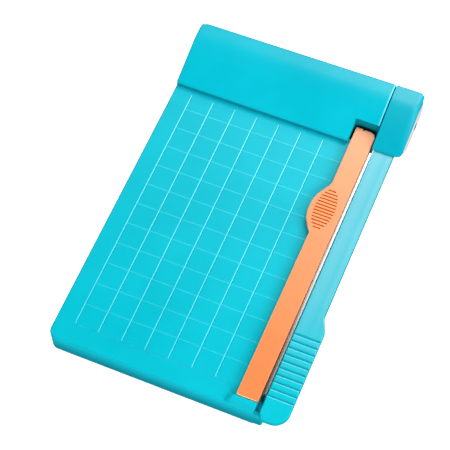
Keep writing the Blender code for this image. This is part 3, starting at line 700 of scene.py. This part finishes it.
def header_cover():
    boss_r, boss_top, hole_top = 3.0, 21.2, 19.8
    profile = resampled(header_profile(), 1.6)
    stations = end_stations(LEFT, 1.1, 6, 1)
    stations += [(x, 0) for x in (LEFT + 1.8, LEFT + 2.6, LEFT + 3.5, HEADER_END_X - 0.8)]
    stations += end_stations(HEADER_END_X, 0.4, 4, -1)[::-1]
    loops = []
    for x, inset in stations:
        points = [lifted(placed("X", *p, x)) for p in offset(profile, -inset)]
        loops.append([corner_rounded(p, CORNER_R, left=LEFT, back=BACK) for p in points])
    obj = scene_object("header_dome", shape((add_loops, loops)))
    notch = (add_box, (NOTCH_X, HEADER_END_X + 2), (HEADER_Y - 3, NOTCH_Y), (TABLE_Z - 2, TABLE_Z + 14))
    boolean(obj, shape(notch))
    whole, behind = header_hollow()
    boolean(obj, shape((add_prism, whole, LEFT + COVER_WALL, NOTCH_X - COVER_WALL, "X")))
    boolean(obj, shape((add_prism, behind, NOTCH_X - COVER_WALL - 1, HEADER_END_X - COVER_WALL, "X")))
    boolean(obj, shape(*rods(HEADER_SCREWS, boss_r, HEADER_LOW, boss_top)), "UNION")
    room = FLANGE_R + GAP
    flange_room = (
        add_box, (HEADER_END_X - COVER_WALL - 1, HEADER_END_X + 1), (PIVOT[0] - room, PIVOT[0] + room),
        (TABLE_Z - 1, PIVOT[1] + room),
    )
    boolean(obj, shape(*rods(HEADER_SCREWS, SCREW_R + GAP, TABLE_Z - 1, hole_top), flange_room))
    painted(
        obj, TEAL_COVER,
        # Painted shade under the header's front edge and on the notch's back wall.
        (TEAL_NOTCH_SHADE, lambda at, n: n.y < -0.7 and at.y < HEADER_Y + 0.3 and at.z < TABLE_Z + 1.5),
        (TEAL_NOTCH_SHADE, lambda at, n: at.x > NOTCH_X + 0.5 and abs(at.y - NOTCH_Y) < 0.1),
        # Painted highlight on the header's rounded right end.
        (TEAL_EDGE_HIGHLIGHT, lambda at, n: at.x > HEADER_END_X - 0.75 and n.x < 0.95 and n.z > 0.2),
    )
    finished(obj, "casing", "header_cover")


def cap_outline():
    return rounded([
        (68.8, 12.4, 4.0), (67.0, 17.3, 0.8), (90.0, 21.0, 12.0), (101.6, 18.6, 1.0), (101.6, 9.8, 3.4),
        (97.0, 6.8, 3.0), (75.5, 6.8, 5.0),
    ], 8)


def hub_dome():
    boss_r, boss_top, hole_top = 2.2, 20.6, 19.6
    low, skirt = ARM_TOP + GAP, 15.0
    left, right = HUB_X
    skirt_y = BACK - HUB_WALL - GAP
    profile = resampled(rounded([
        (HUB_Y, low), (HUB_Y, TABLE_Z + 4.1, 1.0), (CREST_Y, CREST_Z, 20.0), (BACK, BACK_EDGE_Z, 3.6),
        (BACK, skirt), (skirt_y, skirt), (skirt_y, low),
    ], 4), 0.9)
    stations = [(x, inset, 1.0) for x, inset in end_stations(left, 0.35, 4, 1)]
    stations += [(x, 0, 1.0) for x in (left + 4, left + 8, right - 4.6)]
    stations += [(x, 0, 1 - 0.1 * drop) for x, drop in end_stations(right, 3.6, 12, -1)[::-1]]
    loops = []
    for x, inset, rise in stations:
        loop = []
        for p in offset(profile, -inset):
            z = low + (p.y - low) * rise if p.y > low else p.y
            point = corner_rounded(lifted(placed("X", p.x, z, x)), 3.2, right=right, front=HUB_Y)
            loop.append(corner_rounded(point, 2.5, right=right, back=BACK))
        loops.append(loop)
    obj = scene_object("hub_dome", shape((add_loops, loops)))
    front_y, back_y = HUB_Y + HUB_WALL, BACK - HUB_WALL
    inner = rounded([
        (front_y, 13.0), (front_y, 17.1), (91.2, CREST_Z - 1.7, 20.0), (back_y, BACK_EDGE_Z - 2.0, 2.2),
        (back_y, 13.0),
    ], 6)
    boolean(obj, shape((add_prism, inner, left + HUB_WALL, CAP_X - GAP, "X")))
    boolean(obj, shape((add_prism, offset(cap_outline(), GAP), CAP_X - GAP, right + 1, "X")))
    boolean(obj, shape(*rods(HUB_SCREWS, boss_r, low, boss_top)), "UNION")
    boolean(obj, shape(*rods(HUB_SCREWS, SCREW_R + GAP, low - 1, hole_top)))
    # The hub's colour carries painted light towards its back.
    painted(obj, TEAL_HUB_LIT)
    finished(obj, "arm", "hub_cover")


def side_cap():
    hole_r = 2.1
    cap = (add_rounded, cap_outline(), CAP_X, HUB_X[1], 0.1, 0.7, "X")
    obj = scene_object("pivot_side_cap", shape(cap))
    boolean(obj, shape((add_cylinder, PIVOT, hole_r, CAP_X - 1, HUB_X[1] + 1, "X")))

    def in_hole(at, normal):
        return math.hypot(at.y - PIVOT[0], at.z - PIVOT[1]) < hole_r + 0.2 and abs(normal.x) < 0.3

    # Painted shade on the wall of the pivot hole.
    painted(obj, WHITE, (TEAL_PAINTED_SHADE, in_hole))
    finished(obj, "arm", "side_cap")


# Cutting arm

def back_squared(least):
    """The share of the rounding for a piece whose back end goes under a cover and is nearly square there."""
    return lambda point: least if point.y > 69 else 1.0


def on_handle_groove(at, normal, depth):
    """Whether a face is on the slope of one of the handle's grooves, down to a depth."""
    return at.y < HANDLE_Y and 0.1 < normal.z < 0.95 and at.z > ARM_TOP - depth


def cutting_arm():
    rail_inner, roof, head_room_z = ARM_X + ARM_RAIL, ARM_TOP - 2.0, 9.5
    plan = rounded([
        (ARM_X, -98.8, 1.5), (51.4, ARM_TIP, 2.0), (HANDLE_RIGHT, ARM_TIP, 8.0), (HANDLE_RIGHT, -46.6, 4.0),
        (ARM_RIGHT, -39.0, 5.0), (ARM_RIGHT, ARM_BACK), (ARM_X, ARM_BACK),
    ], 5)
    plate = (add_rounded, plan, ARM_BOTTOM, ARM_TOP, 0.4, 0.8, "Z", back_squared(0.1), 6)
    obj = scene_object("cutting_arm", shape(plate))
    boolean(obj, shape(
        (add_box, (rail_inner, ARM_RIGHT - 2.0), (-34.0, 56.0), (ARM_BOTTOM - 1, roof)),
        (add_box, (rail_inner, HANDLE_RIGHT - 2.0), (-95.0, -50.0), (ARM_BOTTOM - 1, roof - 0.6)),
    ))
    rail = (add_box, (ARM_X, rail_inner), (BLADE_FRONT, 75.0), (ARM_RAIL_Z, ARM_BOTTOM + 0.5))
    boolean(obj, shape(rail), "UNION")
    core = rounded([
        (66.5, ARM_TOP - 0.3), (66.5, 12.5), (73.0, 7.2, 3.0), (95.5, 7.2, 4.0), (97.6, 12.0, 2.0),
        (97.6, ARM_TOP - 0.3),
    ])
    boolean(obj, shape((add_prism, core, *CORE_X, "X")), "UNION")
    blade_screws = [(y, BLADE_SCREW_Z + 1) for y in MOVING_SCREW_Y]
    boolean(obj, shape(
        (add_cylinder, PIVOT, BOLT_R + RUN, CORE_X[0] - 1, CORE_X[1] + 1, "X"),
        *rods(blade_screws, SCREW_R + GAP, ARM_X - 1, rail_inner + 1, "X"),
    ))
    boolean(obj, shape(
        (add_cylinder, PIVOT, BOLT_HEAD_R + GAP, CORE_X[1] - 2.5, CORE_X[1] + 1, "X"),
        *rods(HUB_SCREWS, HUB_SCREW_HEAD_R + GAP, ARM_RAIL_Z - 1, head_room_z),
    ))
    boolean(obj, shape(*rods(HUB_SCREWS, SCREW_R + GAP, head_room_z - 0.5, ARM_TOP + 1)))
    grooves = bmesh.new()
    for k in range(HANDLE_GROOVES):
        along = FIRST_GROOVE_Y - GROOVE_PITCH * k
        section = groove_section(along, ARM_TOP, HANDLE_GROOVE_WIDTH, HANDLE_GROOVE_DEPTH)
        add_prism(grooves, section, ARM_X - 1, HANDLE_RIGHT + 1, "X")
    boolean(obj, grooves)
    painted(
        obj, TEAL_ARM,
        # Painted shade on the back walls of the handle's grooves and on the arm's right rim.
        (TEAL_GROOVE_SHADE, lambda at, n: on_handle_groove(at, n, 0.84) and n.y < -0.3 and at.y > -92),
        (TEAL_GROOVE_SHADE, lambda at, n: at.y > -39 and at.x > ARM_RIGHT - 0.5 and 0.6 < n.x < 0.99),
        # Painted highlight on the front walls of the handle's grooves.
        (TEAL_EDGE_HIGHLIGHT, lambda at, n: on_handle_groove(at, n, 0.75) and n.y > 0.3),
    )
    finished(obj, "arm", "arm_lever")


# Press bar

def press_bar():
    left, right = BAR_X
    front, back = BAR_Y
    left_back, right_back = left + BAR_SET, right + BAR_SET
    top = BAR_Z[1]
    plan = rounded([
        (left, front, 0.8), (right, front, 0.8), (right_back, 73.0, 4.0), (41.1, 73.0, 0.2),
        (40.9, 72.3, 0.2), (40.3, 72.3, 0.2), (40.1, back, 0.2), (left_back, back, 0.6),
        (36.3, 35.2, 6.0), (30.2, 24.2, 20.0), (30.2, 12.2, 18.0), (35.8, 3.8, 2.0),
    ], 3)
    bar = (add_rounded, plan, *BAR_Z, 0.3, 0.5, "Z", back_squared(0.25), 6)
    obj = scene_object("orange_press_bar", shape(bar))
    knuckle = [
        Vector((BAR_PIN[0] - KNUCKLE_R, BAR_Z[0] + 0.8)), *arc(BAR_PIN, KNUCKLE_R, 180, 360, 24),
        Vector((BAR_PIN[0] + KNUCKLE_R, BAR_Z[0] + 0.8)),
    ]
    boolean(obj, shape(*[(add_prism, knuckle, *ends, "X") for ends in KNUCKLES_X]), "UNION")
    boolean(obj, shape(*rods([BAR_PIN], BAR_PIN_R + RUN, 34.0, 46.0, "X")))
    reach_x, reach_y, sides = PAD_HALF_WIDTH + 0.2, PAD_HALF_LENGTH + 0.5, 72
    angles = [math.tau * k / sides for k in range(sides)]
    oval = [Vector((PAD_X + reach_x * math.cos(a), PAD_Y + reach_y * math.sin(a))) for a in angles]
    boolean(obj, shape((add_prism, oval, top - PAD_RECESS, top + 1)))
    grooves = bmesh.new()
    for k in range(PAD_GROOVES):
        along = (k - (PAD_GROOVES - 1) / 2) * PAD_PITCH
        reach = PAD_HALF_WIDTH * math.sqrt(1 - (along / PAD_HALF_LENGTH) ** 2)
        section = groove_section(PAD_Y + along, top, PAD_GROOVE_WIDTH, PAD_GROOVE_DEPTH, 0.03)
        add_prism(grooves, section, PAD_X - reach, PAD_X + reach, "X")
    boolean(obj, grooves)

    def on_pad(at):
        return abs(at.x - PAD_X) < 6 and abs(at.y - PAD_Y) < 13

    painted(
        # The bar's colour carries a painted highlight towards its hinge.
        obj, ORANGE,
        # Painted shade in the pad's grooves.
        (ORANGE_GROOVE_SHADE, lambda at, n: on_pad(at) and top - 0.7 < at.z < top - 0.12),
        (ORANGE_PAD, lambda at, n: on_pad(at) and abs(at.z - top + PAD_RECESS) < 0.01),
        # Painted highlight on the bar's rounded top edges, except the right-facing ones.
        (ORANGE_EDGE_HIGHLIGHT, lambda at, n: 0.2 < n.z < 0.97 and at.z > top - 0.55 and n.x < 0.15),
    )
    finished(obj, "press_bar", "press_bar")


def dress_cad_nodes():
    """Gives each CAD node that stays on show its material."""
    # The fixed blade's steel carries painted shade and a painted reflection of the orange bar.
    materials = {"moving_blade": STEEL, "fixed_blade": SHADED_BLADE_STEEL, "pivot_bush": BRASS, "bottom_cover": TEAL}
    for name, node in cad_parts.items():
        if name.startswith("rubber"):
            mat = RUBBER
        elif name == "pivot_bolt" or "screw" in name:
            mat = DARK_STEEL
        else:
            mat = materials.get(name, TURNED)
        node.data.materials.clear()
        node.data.materials.append(mat)


# Studio: the lights' places and sizes are in metres

def add_area_light(name, at, target, size, watts):
    data = bpy.data.lights.new(name, "AREA")
    data.shape = "RECTANGLE"
    data.size, data.size_y = size
    data.energy = watts
    lamp = bpy.data.objects.new(name, data)
    lamp.location = at
    lamp.rotation_euler = (Vector(at) - Vector(target)).to_track_quat("Z", "Y").to_euler()
    bpy.context.scene.collection.objects.link(lamp)


def studio():
    half, drop = 2.0, 0.0002
    bm = bmesh.new()
    corners = [(-half, -half), (half, -half), (half, half), (-half, half)]
    bm.faces.new([bm.verts.new((x, y, -drop)) for x, y in corners])
    floor = scene_object("floor", bm)
    n = Nodes("pale_floor")
    n.feed("Base Color", n.ramp(n.noise(3, 2), [(0.3, (0.86, 0.87, 0.88)), (0.7, (0.9, 0.9, 0.9))]))
    n.fix("Roughness", 0.9)
    n.fix("Specular IOR Level", 0.1)
    n.fix("Emission Color", (1, 1, 1, 1))
    n.fix("Emission Strength", 0.8)
    floor.data.materials.append(n.material)
    floor.visible_diffuse = False
    floor.visible_glossy = False

    world = bpy.data.worlds.new("studio")
    world.use_nodes = True
    background = world.node_tree.nodes["Background"]
    background.inputs["Color"].default_value = (0.95, 0.98, 1.0, 1)
    background.inputs["Strength"].default_value = 0.12
    bpy.context.scene.world = world

    add_area_light("back_softbox", (0.32, 1.0, 0.85), (0.02, 0.05, 0), (1.0, 1.0), 17)
    add_area_light("right_key", (1.25, 0.0, 0.6), (0, 0, 0), (0.7, 0.5), 11.5)
    add_area_light("left_fill", (-1.1, -0.3, 0.8), (0, 0, 0), (0.7, 0.7), 6)
    add_area_light("front_fill", (0.2, -1.2, 0.42), (0, 0, 0), (0.8, 0.5), 11)


def camera():
    """Stands where the photo was taken from, which was worked out from the grid's lines."""
    place = Vector((157.1, -378.25, 730.2)) * MM
    azimuth, elevation, roll = math.radians(23.80), math.radians(60.51), math.radians(-1.33)
    data = bpy.data.cameras.new("camera")
    data.lens = 127.0
    data.sensor_width = 36.0
    data.clip_start, data.clip_end = 0.01, 20
    level = math.cos(elevation)
    back = Vector((math.sin(azimuth) * level, -math.cos(azimuth) * level, math.sin(elevation)))
    right = (-back).cross(Vector((0, 0, 1))).normalized()
    up = right.cross(-back)
    turned_right = math.cos(roll) * right + math.sin(roll) * up
    turned_up = -math.sin(roll) * right + math.cos(roll) * up
    basis = Matrix((turned_right, turned_up, back)).transposed().to_4x4()
    obj = bpy.data.objects.new("camera", data)
    obj.matrix_world = Matrix.Translation(place) @ basis
    bpy.context.scene.collection.objects.link(obj)
    bpy.context.scene.camera = obj


camera()
studio()
dress_cad_nodes()
table_base()
header_cover()
hub_dome()
side_cap()
cutting_arm()
press_bar()
bpy.context.scene.view_settings.view_transform = "Standard"
